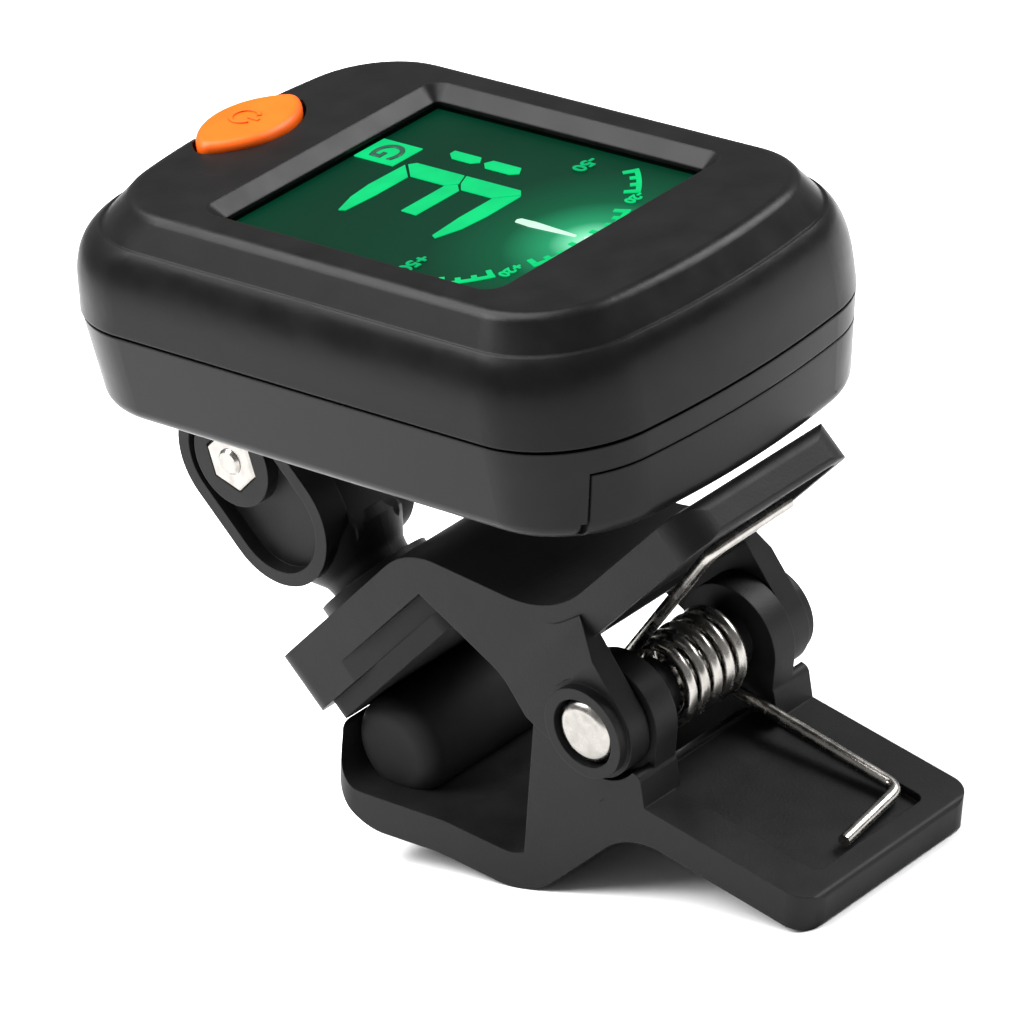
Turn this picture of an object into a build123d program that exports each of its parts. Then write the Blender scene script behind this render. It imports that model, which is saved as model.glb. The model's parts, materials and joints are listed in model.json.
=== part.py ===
from build123d import *
import os
from math import cos, radians, sin

# Clip-on instrument tuner: a display head on a swivelling, tilting arm over a sprung clip.
# Millimetres, +Z up.  The clip lies on a table: the lower lever touches it with its belly
# and with the end of its handle.  Y = 0 is the plane of symmetry of the clip, +X points
# towards the handles and -X towards the tips of the jaws.
#
# Each lever and the head have axes of their own.  Side views are drawn on planes whose
# first axis runs along the part, towards the handles, and whose second axis is square to it.

# ---------------------------------------------------------------- driving dimensions
PIVOT_X = 11.7875       # pivot of the clip, in the row frame
PIVOT_Z = 13.5816
TABLE_TILT = 22.406      # the lower handle slopes down to the table by this angle
JAW_ANGLE = 54.8        # upper lever against the lower handle
FACE_ANGLE = 13.4       # face of the display against the lower handle

PLATE = 2.75            # wall of both levers
LOWER_HALF = 8.7        # half widths of the two levers
UPPER_HALF = 8.0
LOWER_END = 18.85       # end of the lower handle, from the pivot
LOWER_TOP = -4.3        # upper side of the lower handle
UPPER_END = 18.5
UPPER_TOP = 7.4
JAW_TOP = 17.3          # upper side of the upper jaw
JAW_TIP = -25.8
PAD_TOP = 12.75         # seam between the upper jaw and its rubber pad
PAD_FACE = 11.31
EDGE = 0.4              # small rounding of moulded edges

EAR_IN = 7.35           # outer ears, on the upper lever
EAR_OUT = 9.15
HUB_OUT = 9.95
HUB_R = 3.6
RIVET_R = 2.4
RIVET_SEAT = 8.75
INNER_IN = 5.0          # inner ears, on the lower lever
INNER_OUT = 7.1
INNER_R = 4.05
PIN_R = 1.25            # pivot pin
RUN = 0.05              # radial clearance of a shaft that turns

COIL_R = 2.75           # torsion spring, to the middle of the wire
WIRE_R = 0.45
COIL_Y = -2.9
COIL_PITCH = 1.28
COIL_TURNS = 5.3155
COIL_PHASE = 151.0      # where the upper leg leaves the coil, in the lower lever's side view
SPRING_LEG = 15.0

ARM_S = -21.2           # tilt hinge and swivel axis, in the upper lever's axes
ARM_T = 30.4
CHEEK_R = 5.05
CHEEK_LENGTH = 5.0
CHEEK_IN = 2.1
CHEEK_OUT = 4.5
BASE_R = 4.3            # raised seat of the swivel, on the jaw
SEAT_T = 18.6
SPIGOT_R = 2.0
SPIGOT_END = 14.55
CAVITY_R = 3.2
WASHER_T = 0.4
SCREW_R = 0.98          # M2 screws, drawn without their thread
HEAD_R = 1.9
HEAD_T = 1.2
NUT_FLATS = 4.0
NUT_T = 1.6

TILT_E = -21.65         # tilt hinge, in the head's axes
TILT_N = -22.8
LUG_HALF = 1.95
LUG_R = 4.2
PART_N = -7.0           # heights in the head, from the front of the window
SEAM = 0.25
SHOULDER_N = -1.0
FACE_N = 1.2
STEP_N = -13.0
BACK_N = -14.1
WALL = 1.5
WINDOW_E = 24.3         # opening over the display, along and across the head
WINDOW_Y = 21.1
BEZEL = 2.2             # the sloped frame round the window adds this to both
LENS_E = 26.0
LENS_Y = 22.8
LENS_N = -1.2
LCD_E = 25.5
LCD_Y = 22.3
LCD_N = -3.0
BOARD_N = -5.2          # upper side of the circuit board
BOARD_T = 1.0
BUTTON_E = -19.65
BUTTON_PRESS = 0.5
DOOR_E = 1.5            # battery door
DOOR_HALF = 13.1
DOOR_N = -9.2
DOOR_WALL = 1.2
DOOR_PLATE = -12.9
DOOR_GAP = 0.15
TRAY_N = -9.0           # roof of the battery compartment
CELL_R = 10.0           # CR2032 coin cell
CELL_E = 11.9
CELL_TOP = -9.4
CELL_T = 3.2
POST_R = 1.75           # screw posts in the corners of the head
CASE_HEAD_R = 1.4
CASE_HEAD_T = 1.1
SCREW_PLACES = ((-19.5, 12.35, -12.8), (16.0, 12.3, -11.6))  # along, across, under the head


# ---------------------------------------------------------------- planes
def turned(angle, x, z):
    """Plane of symmetry seen from -Y, its first axis raised by an angle from +X."""
    a = radians(angle)
    return Plane(origin=(x, 0, z), x_dir=(cos(a), 0, sin(a)), z_dir=(0, -1, 0))


def level(side, height):
    """Plan of a part: its first axis along the part, its second along +Y."""
    origin = side.from_local_coords((0, height, 0))
    return Plane(origin=origin, x_dir=side.x_dir, z_dir=side.y_dir)


lower = turned(-TABLE_TILT, PIVOT_X, PIVOT_Z)
upper = turned(JAW_ANGLE - TABLE_TILT, PIVOT_X, PIVOT_Z)
tilt_point = upper.from_local_coords((ARM_S, ARM_T, 0))
arm = turned(JAW_ANGLE - TABLE_TILT, tilt_point.X, tilt_point.Z)
at_tilt = turned(FACE_ANGLE - TABLE_TILT, tilt_point.X, tilt_point.Z)
window_point = at_tilt.from_local_coords((-TILT_E, -TILT_N, 0))
head = turned(FACE_ANGLE - TABLE_TILT, window_point.X, window_point.Z)
head_depth = Axis(head.origin, head.y_dir)
swivel_axis = Axis(tilt_point, arm.y_dir)
seat = SEAT_T - ARM_T


# ---------------------------------------------------------------- drawing helpers
def outline(plane, *corners):
    """Closed outline with rounded corners, each given as (first, second, radius)."""
    with BuildSketch(plane, mode=Mode.PRIVATE) as flat:
        with BuildLine():
            points = [(a, b) for a, b, r in corners]
            FilletPolyline(*points, radius=[r for a, b, r in corners], close=True)
        make_face()
    return flat.sketch


def disc(plane, first, second, radius):
    with BuildSketch(plane, mode=Mode.PRIVATE) as flat:
        with Locations((first, second)):
            Circle(radius)
    return flat.sketch


def tile(plane, first, second, size_a, size_b, corner):
    with BuildSketch(plane, mode=Mode.PRIVATE) as flat:
        with Locations((first, second)):
            RectangleRounded(size_a, size_b, corner)
    return flat.sketch


def hexagon(plane, flats):
    with BuildSketch(plane, mode=Mode.PRIVATE) as flat:
        RegularPolygon(radius=flats / 2, side_count=6, major_radius=False)
    return flat.sketch


def across(sketch, near, far, mode=Mode.ADD):
    """A side view made solid between two positions along Y."""
    extrude(sketch.moved(Location((0, near, 0))), amount=far - near, dir=(0, 1, 0), mode=mode)


def both_sides(sketch, near, far, mode=Mode.ADD):
    """The same slab on both sides of the plane of symmetry."""
    across(sketch, near, far, mode)
    across(sketch, -far, -near, mode)


def through(sketch, half, mode=Mode.ADD):
    extrude(sketch, amount=half, both=True, mode=mode)


def block(side, along, half, depth, mode=Mode.ADD):
    """Box on the plane of symmetry, from its ranges along the part and square to it."""
    with BuildSketch(level(side, depth[0]), mode=Mode.PRIVATE) as flat:
        with Locations(((along[0] + along[1]) / 2, 0)):
            Rectangle(along[1] - along[0], 2 * half)
    extrude(flat.sketch, amount=depth[1] - depth[0], mode=mode)


def head_plan(height, back, front, half, corner):
    """Plan of the head: straight long sides, bulging ends and large corners."""
    bulge = 2.0
    with BuildSketch(level(head, height), mode=Mode.PRIVATE) as flat:
        with BuildLine():
            Line((back + bulge, -half), (front - bulge, -half))
            ThreePointArc((front - bulge, -half), (front, 0), (front - bulge, half))
            Line((front - bulge, half), (back + bulge, half))
            ThreePointArc((back + bulge, half), (back, 0), (back + bulge, -half))
        make_face()
        fillet(flat.vertices(), corner)
    return flat.sketch


def eye(height, grow):
    """Plan of the button: two arcs that meet in points."""
    half = 4.8 + grow
    swell = 3.0 + grow
    with BuildSketch(level(head, height), mode=Mode.PRIVATE) as flat:
        with BuildLine():
            ThreePointArc((BUTTON_E, -half), (BUTTON_E + swell, 0), (BUTTON_E, half))
            ThreePointArc((BUTTON_E, half), (BUTTON_E - swell, 0), (BUTTON_E, -half))
        make_face()
        fillet(flat.vertices(), 1.0)
    return flat.sketch


def finish(builder, name):
    builder.part.label = name
    export_step(builder.part, f"parts/{name}.step")


os.makedirs("parts", exist_ok=True)

# ---------------------------------------------------------------- lower lever
with BuildPart() as lower_lever:
    through(
        outline(
            lower,
            (LOWER_END, LOWER_TOP, EDGE),
            (2.16, LOWER_TOP, 3.0),
            (-5.7, -14.35, 3.5),
            (-12.4, -15.1, 10.0),
            (-22.9, -17.6, 2.6),
            (-23.1, -13.65, 0.2),
            (-23.6, -13.65, 0.2),
            (-23.6, -20.7, 4.8),
            (-12.6, -17.95, 10.0),
            (-4.4, -17.1, 7.0),
            (3.54, LOWER_TOP - PLATE, 6.0),
            (LOWER_END, LOWER_TOP - PLATE, EDGE),
        ),
        LOWER_HALF,
    )
    # cheeks under the hubs of the upper lever, with a pocket round each hub
    both_sides(
        outline(
            lower,
            (-5.2, -15.5, 0),
            (-5.2, -2.0, 0.8),
            (4.1, -2.0, 0.6),
            (4.9, -5.0, 0),
            (1.5, -5.0, 1.5),
            (-3.5, -12.5, 2.0),
        ),
        INNER_IN,
        LOWER_HALF,
    )
    both_sides(disc(lower, 0, 0, HUB_R + 0.4), INNER_OUT, LOWER_HALF, Mode.SUBTRACT)
    both_sides(
        outline(
            upper,
            (-8.3, 13.0, 0),
            (-6.5, 7.3, 12.0),
            (-4.75, 1.3, 3.0),
            (-3.1, -2.7, 0),
            (3.0, 0, 0),
        ),
        INNER_OUT,
        LOWER_HALF,
        Mode.SUBTRACT,
    )
    # inner ears, with a boss that holds the coil of the spring
    both_sides(
        outline(
            lower,
            (-INNER_R, -6.5, 0),
            (-INNER_R, 0, 0),
            (INNER_R, 0, 0),
            (INNER_R, -5.0, 0),
        ),
        INNER_IN,
        INNER_OUT,
    )
    both_sides(disc(lower, 0, 0, INNER_R), INNER_IN, INNER_OUT)
    both_sides(disc(lower, 0, 0, 2.1), 2.4, INNER_IN)
    both_sides(disc(lower, 0, 0, PIN_R), 2.4, INNER_OUT, Mode.SUBTRACT)
    # recess that holds the end of the spring
    extrude(
        tile(level(lower, LOWER_TOP), 9.7, 0, 14.6, 11.2, 0.7), amount=-0.65, mode=Mode.SUBTRACT
    )
    # plan of the lever: rounded handle and rounded jaw
    extrude(
        outline(
            level(lower, -25.0),
            (LOWER_END, -LOWER_HALF, 1.9),
            (LOWER_END, LOWER_HALF, 1.9),
            (-23.6, LOWER_HALF, 3.0),
            (-23.6, -LOWER_HALF, 3.0),
        ),
        amount=40.0,
        mode=Mode.INTERSECT,
    )
finish(lower_lever, "lower_lever")

# ---------------------------------------------------------------- rubber bumper in the lower jaw
with BuildPart() as lower_pad:
    through(disc(lower, -19.1, -14.05, 3.75), 6.6)
    fillet(edges().filter_by(GeomType.CIRCLE), 1.4)
    add(lower_lever.part, mode=Mode.SUBTRACT)
finish(lower_pad, "lower_pad")

# ---------------------------------------------------------------- upper lever
with BuildPart() as upper_lever:
    through(
        outline(
            upper,
            (UPPER_END, UPPER_TOP, 1.0),
            (2.0, UPPER_TOP, 9.0),
            (-6.6, JAW_TOP, 6.0),
            (JAW_TIP, JAW_TOP, 1.2),
            (JAW_TIP, PAD_TOP, EDGE),
            (-6.4, PAD_TOP, 1.2),
            (0.75, UPPER_TOP - PLATE, 5.0),
            (UPPER_END, UPPER_TOP - PLATE, EDGE),
        ),
        UPPER_HALF,
    )
    # recess along both sides of the jaw, deeper towards the ears
    for side in (-1, 1):
        extrude(
            outline(
                level(upper, PAD_TOP),
                (-19.5, side * UPPER_HALF, 0),
                (-5.0, side * UPPER_HALF, 0),
                (-5.0, side * (UPPER_HALF - 1.5), 0),
            ),
            amount=1.65,
            mode=Mode.SUBTRACT,
        )
    extrude(
        outline(
            level(upper, 0),
            (UPPER_END, -UPPER_HALF, 2.5),
            (UPPER_END, UPPER_HALF, 2.5),
            (JAW_TIP, UPPER_HALF, 2.0),
            (JAW_TIP, -UPPER_HALF, 2.0),
        ),
        amount=40.0,
        mode=Mode.INTERSECT,
    )
    # shallow recess under the handle
    extrude(
        tile(level(upper, UPPER_TOP - PLATE), 10.6, 0, 14.2, 14.2, 1.8),
        amount=0.5,
        mode=Mode.SUBTRACT,
    )
    # ears: flush with the lever above, spreading outwards down to the hubs
    both_sides(
        outline(
            upper,
            (-8.2, 14.7, 0),
            (-6.1, 7.5, 12.0),
            (-4.4, 1.6, 3.0),
            (-2.75, -2.32, 0),
            (3.54, -0.64, 0),
            (4.45, 4.65, 0),
            (4.7, 6.3, 0),
            (1.4, 7.0, 4.0),
            (-5.2, 14.7, 0),
        ),
        EAR_IN,
        EAR_OUT,
    )
    for side in (-1, 1):
        extrude(
            outline(
                Plane(origin=upper.origin, x_dir=(0, 1, 0), z_dir=upper.x_dir),
                (side * UPPER_HALF, 16.0, 0),
                (side * UPPER_HALF, UPPER_TOP - 0.8, 6.0),
                (side * EAR_OUT, HUB_R - 0.3, 0),
                (side * HUB_OUT, HUB_R - 0.3, 0),
                (side * HUB_OUT, 16.0, 0),
            ),
            amount=12.0,
            both=True,
            mode=Mode.SUBTRACT,
        )
    both_sides(disc(upper, 0, 0, HUB_R), EAR_IN, EAR_OUT)
    both_sides(disc(upper, 0, 0, HUB_R - 0.3), EAR_OUT, HUB_OUT)
    both_sides(disc(upper, 0, 0, PIN_R + RUN), EAR_IN, HUB_OUT, Mode.SUBTRACT)
    both_sides(disc(upper, 0, 0, RIVET_R + 0.1), RIVET_SEAT, HUB_OUT, Mode.SUBTRACT)
    # seat of the swivel, its bore, and the cavity for the washer and the screw head
    extrude(disc(level(upper, JAW_TOP), ARM_S, 0, BASE_R), amount=SEAT_T - JAW_TOP)
    extrude(
        disc(level(upper, PAD_TOP), ARM_S, 0, SPIGOT_R + RUN), amount=6.0, mode=Mode.SUBTRACT
    )
    extrude(
        disc(level(upper, PAD_TOP), ARM_S, 0, CAVITY_R),
        amount=SPIGOT_END + RUN - PAD_TOP,
        mode=Mode.SUBTRACT,
    )
finish(upper_lever, "upper_lever")

# ---------------------------------------------------------------- rubber pad of the upper jaw
with BuildPart() as upper_pad:
    extrude(
        tile(level(upper, PAD_FACE), -15.8, 0, 16.8, 15.4, 1.5), amount=PAD_TOP - PAD_FACE
    )
finish(upper_pad, "upper_pad")

# ---------------------------------------------------------------- pivot pin, riveted at both ends
with BuildPart() as pivot_pin:
    across(disc(lower, 0, 0, PIN_R), -RIVET_SEAT - RUN, RIVET_SEAT + RUN)
    both_sides(disc(lower, 0, 0, RIVET_R), RIVET_SEAT + RUN, HUB_OUT - 0.05)
    rims = edges().filter_by(GeomType.CIRCLE).group_by(Axis.Y)
    fillet(rims[0] + rims[-1], 0.9)
finish(pivot_pin, "pivot_pin")

# ---------------------------------------------------------------- torsion spring
phase = radians(COIL_PHASE)
coil_start = lower.x_dir * cos(phase) + lower.y_dir * sin(phase)
coil_plane = Plane(origin=(PIVOT_X, COIL_Y, PIVOT_Z), x_dir=coil_start, z_dir=(0, 1, 0))
coil = coil_plane.location * Helix(COIL_PITCH, COIL_PITCH * COIL_TURNS, COIL_R, lefthand=True)
upper_corner = coil @ 0 - (coil % 0) * SPRING_LEG
lower_corner = coil @ 1 + (coil % 1) * (SPRING_LEG + 0.6)
hook = Vector(0, 7.0, 0)
bend = 1.1

with BuildPart() as torsion_spring:
    with BuildLine() as wire_path:
        add(coil)
        upper_bend = upper_corner + (coil % 0) * bend
        Line(coil @ 0, upper_bend)
        upper_turn = upper_corner + upper.x_dir + hook
        across_top = (upper_turn - upper_corner).normalized()
        Bezier(upper_bend, upper_corner, upper_corner + across_top * bend)
        Line(upper_corner + across_top * bend, upper_turn)
        lower_bend = lower_corner - (coil % 1) * bend
        Line(coil @ 1, lower_bend)
        lower_turn = lower_corner + lower.x_dir - hook
        across_floor = (lower_turn - lower_corner).normalized()
        Bezier(lower_bend, lower_corner, lower_corner + across_floor * bend)
        Line(lower_corner + across_floor * bend, lower_turn)
    with BuildSketch(Plane(origin=lower_turn, z_dir=across_floor)):
        Circle(WIRE_R)
    sweep(path=wire_path.wire())
finish(torsion_spring, "torsion_spring")

# ---------------------------------------------------------------- swivelling, tilting arm
with BuildPart() as swivel_arm:
    cheek = tile(
        arm, 0, -CHEEK_LENGTH / 2, 2 * CHEEK_R, 2 * CHEEK_R + CHEEK_LENGTH, CHEEK_R - 0.01
    )
    both_sides(cheek, CHEEK_IN, CHEEK_OUT)
    through(
        outline(
            arm, (-4.3, -3.0, 0), (4.3, -3.0, 0), (4.3, -9.8, 1.5), (-4.3, -9.8, 1.5)
        ),
        CHEEK_IN,
    )
    through(disc(arm, 0, 0, LUG_R + 0.4), CHEEK_IN, Mode.SUBTRACT)
    # stem that flares from the seat to the cheeks
    stem_foot = seat + RUN
    revolve(
        outline(
            arm,
            (0, stem_foot, 0),
            (3.05, stem_foot, 0),
            (3.2, stem_foot + 0.9, 1.0),
            (4.4, -9.0, 0),
            (4.4, -8.2, 0),
            (0, -8.2, 0),
        ),
        axis=swivel_axis,
    )
    extrude(disc(level(arm, stem_foot), 0, 0, SPIGOT_R), amount=SPIGOT_END - SEAT_T - RUN)
    extrude(
        disc(level(arm, SPIGOT_END - ARM_T), 0, 0, SCREW_R), amount=5.5, mode=Mode.SUBTRACT
    )
    # D-shaped recess in the outside of each cheek, left by the boss of the hinge
    hollow = tile(arm, 0, -CHEEK_LENGTH / 2, 8.0, 8.0 + CHEEK_LENGTH, 3.9) - disc(arm, 0, 0, 3.5)
    both_sides(hollow, CHEEK_OUT - 1.1, CHEEK_OUT, Mode.SUBTRACT)
    # hinge bore, pocket of the nut on one side and of the screw head on the other
    through(disc(arm, 0, 0, SCREW_R), CHEEK_OUT, Mode.SUBTRACT)
    across(hexagon(arm, NUT_FLATS + 0.1), -CHEEK_OUT, -CHEEK_OUT + NUT_T - 0.1, Mode.SUBTRACT)
    across(disc(arm, 0, 0, HEAD_R + 0.1), CHEEK_OUT - HEAD_T, CHEEK_OUT, Mode.SUBTRACT)
finish(swivel_arm, "swivel_arm")

with BuildPart() as tilt_screw:
    across(disc(arm, 0, 0, SCREW_R), -CHEEK_OUT - 0.35, CHEEK_OUT - HEAD_T)
    across(disc(arm, 0, 0, HEAD_R), CHEEK_OUT - HEAD_T, CHEEK_OUT + 0.1)
    rims = edges().filter_by(GeomType.CIRCLE).group_by(Axis.Y)
    fillet(rims[-1], 0.4)
    chamfer(rims[0], 0.2)
    for turn in (0, 90):
        slot = tile(arm, 0, 0, 2.2, 0.45, 0.1).rotate(Axis(tilt_point, (0, 1, 0)), turn)
        across(slot, CHEEK_OUT - 0.6, CHEEK_OUT + 0.1, Mode.SUBTRACT)
finish(tilt_screw, "tilt_screw")

with BuildPart() as tilt_nut:
    across(hexagon(arm, NUT_FLATS), -CHEEK_OUT - 0.1, -CHEEK_OUT + NUT_T - 0.1)
    rims = edges().group_by(Axis.Y)[0]
    chamfer(rims, 0.18)
    across(disc(arm, 0, 0, SCREW_R), -CHEEK_OUT - 0.1, -CHEEK_OUT + NUT_T, Mode.SUBTRACT)
finish(tilt_nut, "tilt_nut")

washer_foot = SPIGOT_END - ARM_T - WASHER_T
with BuildPart() as swivel_washer:
    extrude(disc(level(arm, washer_foot), 0, 0, 2.9), amount=WASHER_T)
    extrude(disc(level(arm, washer_foot), 0, 0, SCREW_R), amount=WASHER_T, mode=Mode.SUBTRACT)
finish(swivel_washer, "swivel_washer")

with BuildPart() as swivel_screw:
    extrude(disc(level(arm, washer_foot), 0, 0, SCREW_R), amount=5.8)
    extrude(disc(level(arm, washer_foot), 0, 0, HEAD_R), amount=-HEAD_T)
    slot_plan = level(arm, washer_foot - HEAD_T)
    extrude(tile(slot_plan, 0, 0, 2.2, 0.45, 0.1), amount=0.6, mode=Mode.SUBTRACT)
    extrude(tile(slot_plan, 0, 0, 0.45, 2.2, 0.1), amount=0.6, mode=Mode.SUBTRACT)
finish(swivel_screw, "swivel_screw")

# ---------------------------------------------------------------- front shell of the head
with BuildPart() as front_shell:
    loft(
        [
            head_plan(PART_N, -26.5, 24.0, 16.5, 8.0),
            head_plan(-4.5, -26.3, 23.95, 16.45, 8.0),
            head_plan(-2.8, -25.9, 23.75, 16.2, 7.9),
            head_plan(-1.7, -25.2, 23.4, 15.8, 7.7),
            head_plan(SHOULDER_N, -24.3, 22.95, 15.35, 7.5),
        ]
    )
    loft(
        [head_plan(SHOULDER_N, -24.05, 22.75, 15.2, 7.4), head_plan(FACE_N, -21.9, 21.3, 13.8, 6.5)]
    )
    brow = edges().filter_by_position(head_depth, FACE_N - 0.01, FACE_N + 0.01)
    fillet(brow, 1.0)
    loft(
        [
            head_plan(PART_N, -26.5 + WALL, 24.0 - WALL, 16.5 - WALL, 8.0 - WALL),
            head_plan(LENS_N, -24.0, 21.8, 14.0, 6.2),
        ],
        mode=Mode.SUBTRACT,
    )
    for back, half, _ in SCREW_PLACES:
        for side in (-1, 1):
            extrude(disc(level(head, PART_N), back, side * half, POST_R), amount=4.6)
            extrude(
                disc(level(head, PART_N), back, side * half, SCREW_R),
                amount=3.5,
                mode=Mode.SUBTRACT,
            )
    # pocket of the window and the sloped frame above it
    extrude(
        tile(level(head, LENS_N), 0, 0, LENS_E, LENS_Y, 0.6), amount=-LENS_N, mode=Mode.SUBTRACT
    )
    extrude(
        tile(level(head, 0), 0, 0, WINDOW_E, WINDOW_Y, 0.5), amount=FACE_N, mode=Mode.SUBTRACT
    )
    loft(
        [
            tile(level(head, 0.3), 0, 0, WINDOW_E, WINDOW_Y, 0.5),
            tile(level(head, FACE_N), 0, 0, WINDOW_E + BEZEL, WINDOW_Y + BEZEL, 1.5),
        ],
        mode=Mode.SUBTRACT,
    )
    # opening of the button
    extrude(eye(LENS_N - 0.1, 0.25), amount=4.0, mode=Mode.SUBTRACT)
finish(front_shell, "front_shell")

with BuildPart() as window_lens:
    extrude(tile(level(head, LENS_N), 0, 0, LENS_E, LENS_Y, 0.6), amount=-LENS_N)
finish(window_lens, "window_lens")

with BuildPart() as power_button:
    extrude(eye(LENS_N - 0.15, 0), amount=3.15)
    crown = edges().filter_by_position(head_depth, LENS_N + 2.95, LENS_N + 3.05)
    fillet(crown, 0.6)
    extrude(eye(LENS_N - 0.15, 0.75), amount=-0.75)
    extrude(disc(level(head, LENS_N - 0.9), BUTTON_E, 0, 1.2), amount=-0.85)
finish(power_button, "power_button")

# ---------------------------------------------------------------- display and electronics
with BuildPart() as lcd_panel:
    extrude(tile(level(head, LCD_N), 0, 0, LCD_E, LCD_Y, 0.3), amount=LENS_N - LCD_N)
finish(lcd_panel, "lcd_panel")

with BuildPart() as light_guide:
    block(head, (-LCD_E / 2, 10.9), LCD_Y / 2, (BOARD_N, LCD_N))
finish(light_guide, "light_guide")

with BuildPart() as lcd_connector:
    block(head, (11.3, LCD_E / 2), 10.4, (BOARD_N, LCD_N))
finish(lcd_connector, "lcd_connector")

with BuildPart() as circuit_board:
    block(head, (-23.0, 20.0), 10.5, (BOARD_N - BOARD_T, BOARD_N))
finish(circuit_board, "circuit_board")

with BuildPart() as controller_chip:
    block(head, (-10.5, -3.5), 3.5, (BOARD_N - BOARD_T - 1.0, BOARD_N - BOARD_T))
    corners = edges().filter_by(head_depth)
    chamfer(corners, 0.4)
finish(controller_chip, "controller_chip")

with BuildPart() as switch_body:
    block(head, (BUTTON_E - 3.0, BUTTON_E + 3.0), 3.0, (BOARD_N, BOARD_N + 1.75))
    extrude(disc(level(head, BOARD_N), BUTTON_E, 0, 1.3), amount=1.75, mode=Mode.SUBTRACT)
finish(switch_body, "switch_body")

with BuildPart() as switch_plunger:
    extrude(disc(level(head, BOARD_N + 0.6), BUTTON_E, 0, 1.2), amount=LENS_N - 1.75 - BOARD_N - 0.6)
finish(switch_plunger, "switch_plunger")

# ---------------------------------------------------------------- back of the head
with BuildPart() as back_form:
    loft(
        [
            head_plan(PART_N - SEAM, -26.4, 23.95, 16.45, 8.0),
            head_plan(BACK_N, -25.9, 23.1, 15.5, 7.5),
        ]
    )
    heel = edges().filter_by_position(head_depth, BACK_N - 0.01, BACK_N + 0.01)
    fillet(heel, 1.3)

with BuildPart() as battery_tray:
    add(back_form.part)
    block(head, (0.2, 30.0), 13.6, (STEP_N, TRAY_N + 0.8), Mode.INTERSECT)


def door_space(gap):
    """The battery door with its plate and its curved end wall, grown by a gap."""
    inset = DOOR_WALL + gap
    with BuildPart(mode=Mode.PRIVATE) as space:
        block(head, (DOOR_E - gap, 30.0), DOOR_HALF + gap, (-20.0, DOOR_N + gap))
        extrude(
            head_plan(DOOR_PLATE + gap, -30.0, 23.3 - inset, 15.8 - inset, 7.6 - inset),
            amount=10.0,
            mode=Mode.SUBTRACT,
        )
    return space.part


with BuildPart() as back_shell:
    add(back_form.part)
    extrude(head_plan(PART_N - SEAM, -25.8, 23.4, 15.9, 7.4), amount=SEAM)
    loft(
        [
            head_plan(PART_N, -26.5 + WALL, 24.0 - WALL, 16.5 - WALL, 8.0 - WALL),
            head_plan(STEP_N + 0.4, -24.4, 21.7, 14.1, 6.4),
        ],
        mode=Mode.SUBTRACT,
    )
    add(battery_tray.part)
    for back, half, _ in SCREW_PLACES:
        for side in (-1, 1):
            extrude(disc(level(head, STEP_N), back, side * half, POST_R), amount=PART_N - STEP_N)
    # battery compartment: the door, the pocket of the cell and the slots of the contacts
    add(door_space(DOOR_GAP), mode=Mode.SUBTRACT)
    block(head, (DOOR_E + 0.1, 22.0), CELL_R + 0.2, (DOOR_PLATE, TRAY_N), Mode.SUBTRACT)
    block(head, (1.5, 2.1), 1.6, (TRAY_N - 0.1, TRAY_N + 1.0), Mode.SUBTRACT)
    block(head, (5.9, 6.5), 1.6, (TRAY_N - 0.1, TRAY_N + 1.0), Mode.SUBTRACT)
    # grooves of the door's rails
    block(head, (3.0, 30.0), DOOR_HALF + 0.45, (-13.6, -13.0 + DOOR_GAP), Mode.SUBTRACT)
    # holes of the case screws
    for back, half, under_head in SCREW_PLACES:
        for side in (-1, 1):
            extrude(
                disc(level(head, under_head), back, side * half, SCREW_R), amount=10.0,
                mode=Mode.SUBTRACT,
            )
            extrude(
                disc(level(head, under_head), back, side * half, CASE_HEAD_R + 0.1),
                amount=-CASE_HEAD_T - 0.2,
                mode=Mode.SUBTRACT,
            )
    # lug of the tilt hinge
    through(disc(head, TILT_E, TILT_N, LUG_R), LUG_HALF)
    through(
        outline(
            head,
            (TILT_E - LUG_R, TILT_N, 0),
            (TILT_E + LUG_R, TILT_N, 0),
            (TILT_E + LUG_R, -15.0, 1.0),
            (TILT_E + LUG_R + 1.2, BACK_N + 0.4, 0),
            (TILT_E - 3.2, BACK_N + 0.4, 0),
            (TILT_E - LUG_R, -17.0, 2.0),
        ),
        LUG_HALF,
    )
    through(disc(head, TILT_E, TILT_N, SCREW_R + RUN), LUG_HALF, Mode.SUBTRACT)
finish(back_shell, "back_shell")

with BuildPart() as battery_door:
    add(door_space(0))
    block(head, (3.2, 15.0), DOOR_HALF + 0.3, (-13.45, -13.0))
    add(back_form.part, mode=Mode.INTERSECT)
finish(battery_door, "battery_door")

with BuildPart() as coin_cell:
    extrude(disc(level(head, CELL_TOP - CELL_T), CELL_E, 0, CELL_R), amount=2.7)
    rims = edges().filter_by(GeomType.CIRCLE)
    fillet(rims, 0.3)
    extrude(disc(level(head, CELL_TOP), CELL_E, 0, 8.6), amount=-0.6)
finish(coin_cell, "coin_cell")

with BuildPart() as contact_negative:
    block(head, (6.0, 18.0), 1.5, (CELL_TOP, CELL_TOP + 0.3))
    block(head, (6.0, 6.3), 1.5, (CELL_TOP, BOARD_N - BOARD_T))
finish(contact_negative, "contact_negative")

with BuildPart() as contact_positive:
    block(head, (CELL_E - CELL_R - 0.25, CELL_E - CELL_R), 1.5, (CELL_TOP - 2.4, BOARD_N - BOARD_T))
finish(contact_positive, "contact_positive")

with BuildPart() as piezo_disc:
    extrude(disc(level(head, STEP_N + 0.4), -10.0, 0, 6.5), amount=0.3)
    extrude(disc(level(head, STEP_N + 0.7), -10.0, 0, 5.0), amount=0.2)
finish(piezo_disc, "piezo_disc")

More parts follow.
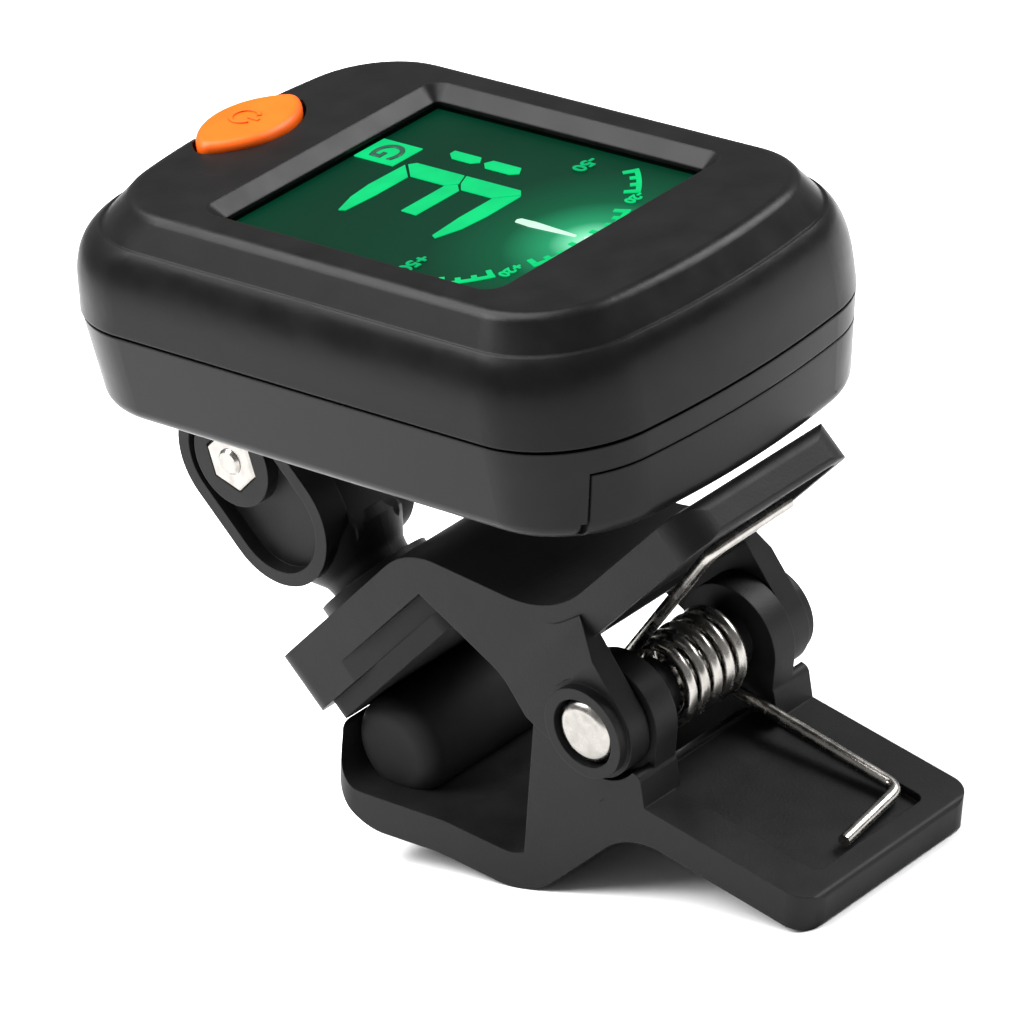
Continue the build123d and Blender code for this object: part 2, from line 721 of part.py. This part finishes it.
with BuildPart() as case_screws:
    for back, half, under_head in SCREW_PLACES:
        for side in (-1, 1):
            seat_plan = level(head, under_head)
            slot_plan = level(head, under_head - CASE_HEAD_T)
            extrude(disc(seat_plan, back, side * half, SCREW_R), amount=-3.6 - under_head)
            extrude(disc(seat_plan, back, side * half, CASE_HEAD_R), amount=-CASE_HEAD_T)
            extrude(tile(slot_plan, back, side * half, 2.2, 0.45, 0.1), amount=0.5, mode=Mode.SUBTRACT)
            extrude(tile(slot_plan, back, side * half, 0.45, 2.2, 0.1), amount=0.5, mode=Mode.SUBTRACT)
finish(case_screws, "case_screws")
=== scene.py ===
import json
from math import cos, radians, sin

import bpy
from mathutils import Euler, Matrix, Vector


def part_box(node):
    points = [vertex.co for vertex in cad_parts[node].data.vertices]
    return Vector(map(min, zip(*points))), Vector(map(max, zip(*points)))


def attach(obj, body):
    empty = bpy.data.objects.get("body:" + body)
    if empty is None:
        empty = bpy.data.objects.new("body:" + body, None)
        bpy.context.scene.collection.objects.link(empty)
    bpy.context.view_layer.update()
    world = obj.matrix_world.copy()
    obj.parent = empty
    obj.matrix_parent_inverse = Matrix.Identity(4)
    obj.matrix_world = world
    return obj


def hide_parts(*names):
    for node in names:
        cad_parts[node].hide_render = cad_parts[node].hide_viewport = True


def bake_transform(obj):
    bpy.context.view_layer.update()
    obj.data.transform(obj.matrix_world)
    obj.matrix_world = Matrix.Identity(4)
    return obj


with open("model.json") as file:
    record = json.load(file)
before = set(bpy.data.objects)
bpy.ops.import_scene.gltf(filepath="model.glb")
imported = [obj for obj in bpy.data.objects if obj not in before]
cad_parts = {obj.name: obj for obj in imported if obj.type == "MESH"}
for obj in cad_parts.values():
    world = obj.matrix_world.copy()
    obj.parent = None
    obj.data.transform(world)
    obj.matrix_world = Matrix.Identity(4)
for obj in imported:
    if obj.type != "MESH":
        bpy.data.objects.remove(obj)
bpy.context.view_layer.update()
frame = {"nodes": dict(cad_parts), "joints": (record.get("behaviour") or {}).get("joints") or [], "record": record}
MM = 0.001

# ---------------------------------------------------------------- axes of the head
joints = {joint["name"]: joint for joint in frame["joints"]}
ALONG = Vector(joints["door_slide"]["axis"]).normalized()
OUT = -Vector(joints["button_press"]["axis"]).normalized()
ACROSS = Vector((0, 1, 0))
LENS_THICKNESS = 1.2
low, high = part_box("window_lens")
WINDOW = (low + high) / 2 + OUT * LENS_THICKNESS / 2 * MM


def on_head(along, across, out):
    """A point of the head, in millimetres from the middle of the window."""
    return WINDOW + (ALONG * along + ACROSS * across + OUT * out) * MM


# ---------------------------------------------------------------- materials
def new_material(name):
    material = bpy.data.materials.new(name)
    material.use_nodes = True
    return material, material.node_tree.nodes, material.node_tree.links


def noise(nodes, links, size_mm, detail=2.0):
    """Three-dimensional noise whose features are about size_mm across."""
    place = nodes.new("ShaderNodeTexCoord")
    texture = nodes.new("ShaderNodeTexNoise")
    texture.inputs["Scale"].default_value = 1 / (size_mm * MM)
    texture.inputs["Detail"].default_value = detail
    links.new(place.outputs["Object"], texture.inputs["Vector"])
    return texture


def spread(nodes, links, source, low_value, high_value):
    scale = nodes.new("ShaderNodeMapRange")
    scale.inputs["From Min"].default_value = 0.3
    scale.inputs["From Max"].default_value = 0.7
    scale.inputs["To Min"].default_value = low_value
    scale.inputs["To Max"].default_value = high_value
    links.new(source, scale.inputs["Value"])
    return scale.outputs["Result"]


def moulded(name, dark, light, rough, grain_mm, depth_mm, edge_mm=0.12, specular=0.5):
    """Moulded plastic or rubber: fine grain, uneven gloss and slightly paler wear."""
    material, nodes, links = new_material(name)
    shader = nodes["Principled BSDF"]
    shader.inputs["Specular IOR Level"].default_value = specular
    patches = noise(nodes, links, 3.0, 4.0)
    colours = nodes.new("ShaderNodeValToRGB")
    colours.color_ramp.elements[0].position = 0.3
    colours.color_ramp.elements[0].color = (*dark, 1)
    colours.color_ramp.elements[1].position = 0.7
    colours.color_ramp.elements[1].color = (*light, 1)
    links.new(patches.outputs["Fac"], colours.inputs["Fac"])
    links.new(colours.outputs["Color"], shader.inputs["Base Color"])
    gloss = spread(nodes, links, patches.outputs["Fac"], rough - 0.04, rough + 0.05)
    links.new(gloss, shader.inputs["Roughness"])
    rounding = nodes.new("ShaderNodeBevel")
    rounding.samples = 4
    rounding.inputs["Radius"].default_value = edge_mm * MM
    grain = noise(nodes, links, grain_mm, 3.0)
    bump = nodes.new("ShaderNodeBump")
    bump.inputs["Strength"].default_value = 0.6
    bump.inputs["Distance"].default_value = depth_mm * MM
    links.new(grain.outputs["Fac"], bump.inputs["Height"])
    links.new(rounding.outputs["Normal"], bump.inputs["Normal"])
    links.new(bump.outputs["Normal"], shader.inputs["Normal"])
    return material


def metal(name, colour, rough, scratch_mm):
    """Plated or drawn metal with fine marks and a little tarnish."""
    material, nodes, links = new_material(name)
    shader = nodes["Principled BSDF"]
    shader.inputs["Metallic"].default_value = 1.0
    marks = noise(nodes, links, scratch_mm, 5.0)
    tone = nodes.new("ShaderNodeValToRGB")
    tone.color_ramp.elements[0].position = 0.25
    tone.color_ramp.elements[0].color = (*[c * 0.72 for c in colour], 1)
    tone.color_ramp.elements[1].position = 0.6
    tone.color_ramp.elements[1].color = (*colour, 1)
    links.new(marks.outputs["Fac"], tone.inputs["Fac"])
    links.new(tone.outputs["Color"], shader.inputs["Base Color"])
    gloss = spread(nodes, links, marks.outputs["Fac"], rough - 0.05, rough + 0.08)
    links.new(gloss, shader.inputs["Roughness"])
    bump = nodes.new("ShaderNodeBump")
    bump.inputs["Strength"].default_value = 0.25
    bump.inputs["Distance"].default_value = 0.01 * MM
    links.new(marks.outputs["Fac"], bump.inputs["Height"])
    links.new(bump.outputs["Normal"], shader.inputs["Normal"])
    return material


def clear_window(name):
    material, nodes, links = new_material(name)
    shader = nodes["Principled BSDF"]
    shader.inputs["Base Color"].default_value = (0.0, 0.01, 0.005, 1)
    shader.inputs["IOR"].default_value = 1.49
    shader.inputs["Specular IOR Level"].default_value = 0.1
    shader.inputs["Alpha"].default_value = 0.05
    smears = noise(nodes, links, 4.0, 3.0)
    gloss = spread(nodes, links, smears.outputs["Fac"], 0.04, 0.09)
    links.new(gloss, shader.inputs["Roughness"])
    return material


def lit(name, colour, strength):
    """Lit display segment, slightly uneven."""
    material, nodes, links = new_material(name)
    shader = nodes["Principled BSDF"]
    shader.inputs["Base Color"].default_value = (0.0, 0.02, 0.01, 1)
    shader.inputs["Specular IOR Level"].default_value = 0.05
    shader.inputs["Emission Color"].default_value = (*colour, 1)
    patches = noise(nodes, links, 2.5)
    power = spread(nodes, links, patches.outputs["Fac"], strength * 0.9, strength * 1.1)
    links.new(power, shader.inputs["Emission Strength"])
    return material


def glowing_field(name, centre):
    """Dark green display, brightest where its lamp shines in at the middle of the gauge."""
    material, nodes, links = new_material(name)
    shader = nodes["Principled BSDF"]
    shader.inputs["Base Color"].default_value = (0.0, 0.008, 0.004, 1)
    shader.inputs["Roughness"].default_value = 0.3
    shader.inputs["Specular IOR Level"].default_value = 0.05
    place = nodes.new("ShaderNodeTexCoord")
    distance = nodes.new("ShaderNodeVectorMath")
    distance.operation = "DISTANCE"
    distance.inputs[1].default_value = centre
    links.new(place.outputs["Object"], distance.inputs[0])
    falloff = nodes.new("ShaderNodeMapRange")
    falloff.inputs["From Max"].default_value = 24 * MM
    links.new(distance.outputs["Value"], falloff.inputs["Value"])
    ramp = nodes.new("ShaderNodeValToRGB")
    steps = (
        (0.0, (0.75, 1.0, 0.85)),
        (0.05, (0.25, 0.95, 0.55)),
        (0.12, (0.02, 0.36, 0.15)),
        (0.25, (0.002, 0.09, 0.035)),
        (0.45, (0.001, 0.028, 0.011)),
        (0.8, (0.0005, 0.017, 0.007)),
        (1.0, (0.0005, 0.024, 0.01)),
    )
    for position, colour in steps[1:-1]:
        ramp.color_ramp.elements.new(position).color = (*colour, 1)
    ramp.color_ramp.elements[0].color = (*steps[0][1], 1)
    ramp.color_ramp.elements[-1].color = (*steps[-1][1], 1)
    links.new(falloff.outputs["Result"], ramp.inputs["Fac"])
    links.new(ramp.outputs["Color"], shader.inputs["Emission Color"])
    shader.inputs["Emission Strength"].default_value = 1.0
    return material


finishes = {
    "black_plastic": moulded(
        "black_plastic", (0.004,) * 3, (0.007,) * 3, 0.5, 0.22, 0.02, specular=0.14
    ),
    "satin_plastic": moulded(
        "satin_plastic", (0.003,) * 3, (0.005,) * 3, 0.33, 0.3, 0.006, edge_mm=0.2, specular=0.1
    ),
    "soft_rubber": moulded(
        "soft_rubber", (0.006,) * 3, (0.010,) * 3, 0.65, 0.3, 0.012, specular=0.12
    ),
    "orange_plastic": moulded(
        "orange_plastic", (0.60, 0.075, 0.001), (0.66, 0.09, 0.002), 0.42, 0.3, 0.006, specular=0.2
    ),
    "clear_window": clear_window("clear_window"),
    "display_glass": moulded(
        "display_glass", (0.0, 0.02, 0.01), (0.0, 0.03, 0.015), 0.2, 1.0, 0.001
    ),
    "white_plastic": moulded(
        "white_plastic", (0.68, 0.7, 0.68), (0.78, 0.8, 0.78), 0.4, 0.5, 0.004
    ),
    "board": moulded("board", (0.01, 0.09, 0.03), (0.015, 0.13, 0.045), 0.35, 0.6, 0.01),
    "chip_plastic": moulded("chip_plastic", (0.012,) * 3, (0.02,) * 3, 0.55, 0.15, 0.01),
    "cell_steel": metal("cell_steel", (0.72, 0.72, 0.7), 0.3, 0.8),
    "contact_brass": metal("contact_brass", (0.8, 0.6, 0.28), 0.3, 0.6),
    "bright_steel": metal("bright_steel", (0.34, 0.325, 0.305), 0.24, 0.9),
}
for part in frame["record"]["subparts"]:
    mesh = frame["nodes"][part["node"]].data
    mesh.materials.clear()
    mesh.materials.append(finishes[part["material_slot"]])


# ---------------------------------------------------------------- copy of the spring, with its transform baked in
cad_spring = frame["nodes"]["torsion_spring"]
spring = bpy.data.objects.new("flexing_spring", cad_spring.data.copy())
spring.matrix_world = cad_spring.matrix_world.copy()
bpy.context.scene.collection.objects.link(spring)
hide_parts("torsion_spring")
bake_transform(spring)


# ---------------------------------------------------------------- the lit display
GAUGE_R = 12.6          # radius of the gauge arc
GAUGE_X = 0.45          # its centre, to the right of the middle of the window and above it
GAUGE_Y = -1.0
LIT = -0.2              # height of the lit marks over the face of the window
THICK = 0.08            # thickness of a lit mark
HALF_W = 10.55          # half width and half length of the display field
HALF_L = 12.15

segment_green = lit("lit_green", (0.0, 0.72, 0.2), 1.0)
faint_green = lit("faint_green", (0.0, 0.55, 0.17), 0.9)
lamp_white = lit("lamp_white", (0.7, 1.0, 0.8), 1.1)
dark_mark = moulded("dark_mark", (0.0, 0.03, 0.015), (0.0, 0.04, 0.02), 0.4, 0.5, 0.001)
glow = glowing_field("glowing_field", on_head(GAUGE_Y + GAUGE_R, -GAUGE_X, LIT))


def slab(name, material, body, outlines, depth, thickness):
    """Flat marks on the display, drawn as it is read: first to the right, second upwards."""
    points = []
    faces = []
    for shape in outlines:
        first = len(points)
        count = len(shape)
        for out in (depth - thickness, depth):
            points += [on_head(up, -right, out) for right, up in shape]
        faces.append([first + i for i in reversed(range(count))])
        faces.append([first + count + i for i in range(count)])
        for i in range(count):
            j = (i + 1) % count
            faces.append([first + i, first + j, first + count + j, first + count + i])
    mesh = bpy.data.meshes.new(name)
    mesh.from_pydata(points, [], faces)
    mesh.validate()
    mesh.materials.append(material)
    piece = bpy.data.objects.new(name, mesh)
    bpy.context.scene.collection.objects.link(piece)
    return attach(piece, body)


def arc_band(centre, inner, outer, start, end, steps=12):
    """Outline of part of a ring, its angles measured clockwise from the top."""
    angles = [radians(start + (end - start) * i / steps) for i in range(steps + 1)]
    rim = [(centre[0] + outer * sin(a), centre[1] + outer * cos(a)) for a in angles]
    back = [(centre[0] + inner * sin(a), centre[1] + inner * cos(a)) for a in reversed(angles)]
    return (rim + back)[::-1]


slab(
    "display_field",
    glow,
    "head",
    [[(-HALF_W, -HALF_L), (HALF_W, -HALF_L), (HALF_W, HALF_L), (-HALF_W, HALF_L)]],
    LIT - THICK - 0.02,
    THICK,
)

# the note letter, made of segments
slab(
    "note_letter",
    segment_green,
    "head",
    [
        [
            (-2.5, -7.75), (1.0, -7.85), (3.0, -7.6), (4.9, -6.95),
            (4.7, -6.5), (2.0, -6.3), (-1.2, -6.3),
        ],
        [(-2.65, -7.6), (-1.35, -6.2), (-1.35, -3.0), (-2.0, -2.4), (-3.1, -2.9), (-3.1, -7.2)],
        [(-1.2, -3.0), (3.0, -3.0), (3.05, -1.65), (-1.2, -1.65), (-1.8, -2.3)],
        [(-1.35, -1.6), (-1.35, 1.2), (-2.6, 2.65), (-3.1, 2.2), (-3.1, -2.7), (-2.0, -2.2)],
        [(-1.2, 1.3), (2.0, 1.3), (4.9, 1.55), (5.1, 1.95), (3.2, 2.6), (1.0, 2.8), (-2.45, 2.75)],
    ],
    LIT,
    THICK,
)
slab(
    "accidental_bars",
    segment_green,
    "head",
    [
        [(-5.8, -6.2), (-5.3, -6.2), (-4.8, -5.6), (-4.8, -3.9), (-5.2, -3.4), (-5.8, -3.8)],
        [(-5.8, -2.7), (-5.2, -3.0), (-4.7, -2.5), (-4.7, -0.3), (-5.1, 0.25), (-5.8, -0.2)],
    ],
    LIT,
    THICK,
)
slab(
    "mode_box",
    segment_green,
    "head",
    [[(-5.0, -12.0), (-2.0, -12.0), (-2.0, -8.45), (-5.0, -8.45)]],
    LIT,
    THICK,
)
slab(
    "needle",
    lamp_white,
    "head",
    [[(0.4, 5.0), (0.7, 5.1), (0.8, 6.4), (0.55, 10.2), (0.35, 10.2), (0.1, 6.4), (0.15, 5.2)]],
    LIT,
    THICK,
)
slab(
    "gauge_pointer",
    lamp_white,
    "head",
    [[(0.35, 10.9), (2.1, 12.1), (-1.3, 12.1)]],
    LIT,
    THICK,
)

gauge = []
centre = (GAUGE_X, GAUGE_Y)
for start, end in ((-51, -34), (-22, -4), (4, 22), (34, 51)):
    gauge.append(arc_band(centre, GAUGE_R - 0.18, GAUGE_R + 0.18, start, end))
for angle in (-50, -45, -40, -35, -21, -16, -11, -5, 5, 11, 16, 21, 35, 40, 45, 50):
    length = 0.95 if abs(angle) in (5, 21, 35, 50) else 0.6
    gauge.append(arc_band(centre, GAUGE_R - length, GAUGE_R, angle - 0.9, angle + 0.9, 1))
slab("gauge_arc", segment_green, "head", gauge, LIT, THICK)

reading = Matrix((-ACROSS, ALONG, OUT)).transposed().to_4x4()
for name, text, right, up, size, material in (
    ("mark_minus_50", "-50", -8.2, 3.4, 1.5, faint_green),
    ("mark_plus_50", "+50", 8.8, 3.4, 1.5, faint_green),
    ("mark_minus_20", "-20", -5.75, 9.9, 1.15, segment_green),
    ("mark_plus_20", "+20", 6.5, 9.9, 1.15, segment_green),
    ("mode_letter", "G", -3.5, -10.25, 3.2, dark_mark),
):
    font = bpy.data.curves.new(name, "FONT")
    font.body = text
    font.align_x = "CENTER"
    font.align_y = "CENTER"
    font.size = size * MM
    font.extrude = 0.03 * MM
    font.offset = 0.03 * MM
    font.materials.append(material)
    label = bpy.data.objects.new(name, font)
    bpy.context.scene.collection.objects.link(label)
    label.matrix_world = Matrix.Translation(on_head(up, -right, LIT + 0.03)) @ reading
    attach(label, "head")

# ---------------------------------------------------------------- mark on the button
low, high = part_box("power_button")
button = (low + high) / 2 - WINDOW
BUTTON_UP = button.dot(ALONG) / MM - 0.1
BUTTON_TOP = 1.8        # top of the button over the face of the window
slab(
    "power_mark",
    finishes["orange_plastic"],
    "button",
    [
        arc_band((0, BUTTON_UP), 0.85, 1.12, 35, 325, 30),
        [
            (-0.13, BUTTON_UP + 0.35), (0.13, BUTTON_UP + 0.35),
            (0.13, BUTTON_UP + 1.3), (-0.13, BUTTON_UP + 1.3),
        ],
    ],
    BUTTON_TOP + 0.1,
    0.25,
)

# ---------------------------------------------------------------- floor, light and camera
bpy.ops.mesh.primitive_plane_add(size=6, location=(0, 0, 0))
floor = bpy.context.object
floor.name = "floor"
material, nodes, links = new_material("floor")
nodes["Principled BSDF"].inputs["Base Color"].default_value = (0.93, 0.93, 0.93, 1)
nodes["Principled BSDF"].inputs["Roughness"].default_value = 0.8
floor.data.materials.append(material)

world = bpy.data.worlds.new("studio")
bpy.context.scene.world = world
world.use_nodes = True
world.node_tree.nodes["Background"].inputs["Color"].default_value = (1, 1, 1, 1)
world.node_tree.nodes["Background"].inputs["Strength"].default_value = 0.35


def soft_light(name, azimuth, elevation, distance, size, power, target):
    """Square soft box seen from the object at an azimuth and elevation."""
    turn = Euler((radians(90 - elevation), 0, radians(azimuth)))
    light = bpy.data.lights.new(name, "AREA")
    light.size = size
    light.energy = power
    lamp = bpy.data.objects.new(name, light)
    lamp.rotation_euler = turn
    lamp.location = target + turn.to_matrix() @ Vector((0, 0, distance))
    bpy.context.scene.collection.objects.link(lamp)


AIM = Vector((2.93, -3.16, 25.77)) * MM
soft_light("top", -60, 72, 0.6, 0.5, 9.0, AIM)
soft_light("key", -40, 45, 0.7, 0.3, 4.0, AIM)
soft_light("rim", 150, 40, 0.6, 0.30, 5.0, AIM)

CAMERA_AZIMUTH = 48.17
CAMERA_ELEVATION = 20.23
CAMERA_ROLL = -14.38
CAMERA_DISTANCE = 0.4773
camera = bpy.data.cameras.new("camera")
camera.lens = 251.7
camera.sensor_width = 36
eye = bpy.data.objects.new("camera", camera)
bpy.context.scene.collection.objects.link(eye)
tripod = Euler((radians(90 - CAMERA_ELEVATION), 0, radians(CAMERA_AZIMUTH))).to_matrix()
eye.matrix_world = Matrix.Translation(AIM + tripod @ Vector((0, 0, CAMERA_DISTANCE))) @ (
    tripod.to_4x4() @ Matrix.Rotation(radians(CAMERA_ROLL), 4, "Z")
)
bpy.context.scene.camera = eye
bpy.context.scene.view_settings.view_transform = "Standard"
